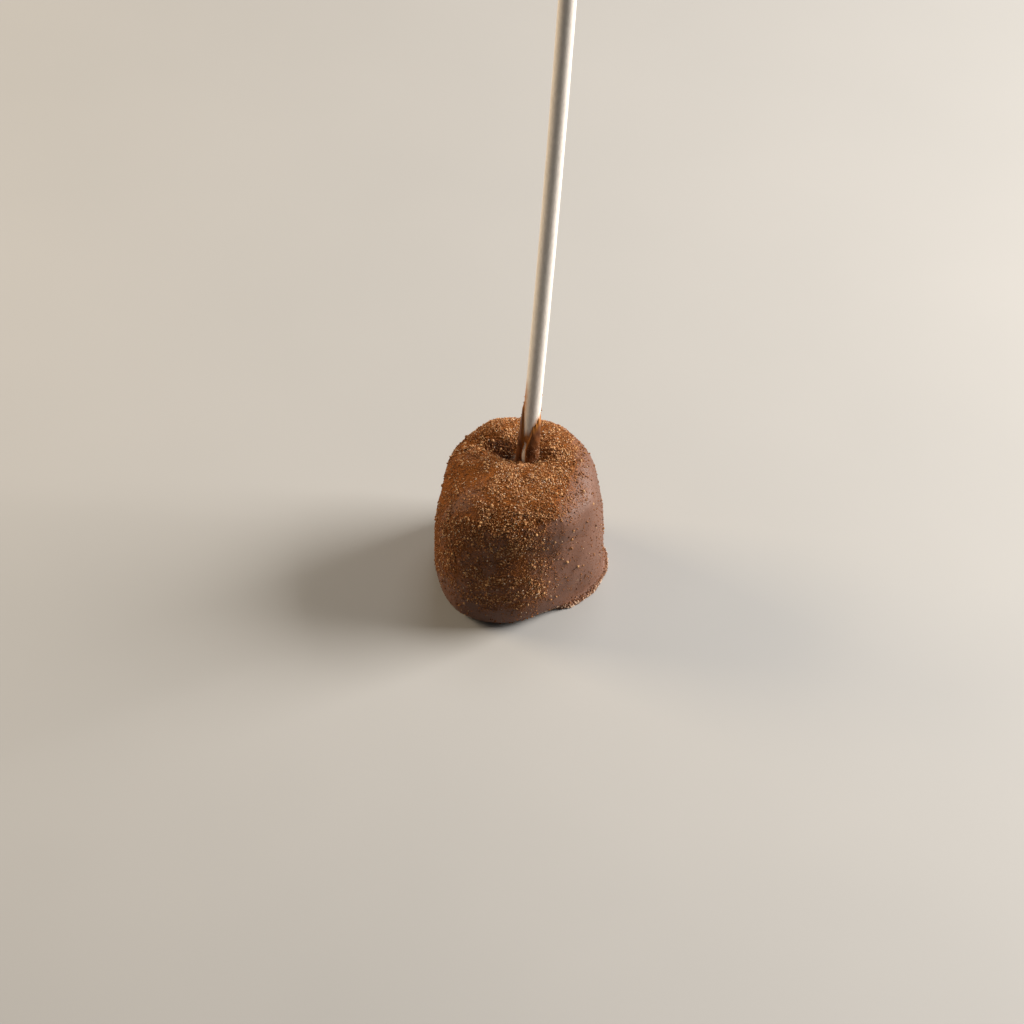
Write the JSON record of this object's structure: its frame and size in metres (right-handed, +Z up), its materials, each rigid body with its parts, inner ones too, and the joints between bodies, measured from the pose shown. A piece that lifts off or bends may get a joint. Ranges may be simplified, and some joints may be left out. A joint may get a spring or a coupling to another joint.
{
  "type": "chocolate-coated marshmallow on a stick",
  "caption": "Upright marshmallow dipped in milk chocolate and dusted with coarse golden sugar, with chocolate climbing the slightly bowed white paper stick in its top.",
  "frame": {"origin": "middle of the flat face it rests on", "axes": "+Z up along the height, +Y away from the front with the bare slit of the stick, +X to the side of the crumbly foot"},
  "size_m": [0.0363, 0.0362, 0.1611],
  "materials": {
    "chocolate_coating": "satin, hand-dipped, dusted with coarse golden cocoa sugar",
    "white_paper": "matte rolled paper"
  },
  "bodies": {
    "root": {"coated_marshmallow": "chocolate_coating", "paper_stick": "white_paper"}
  },
  "joints": []
}
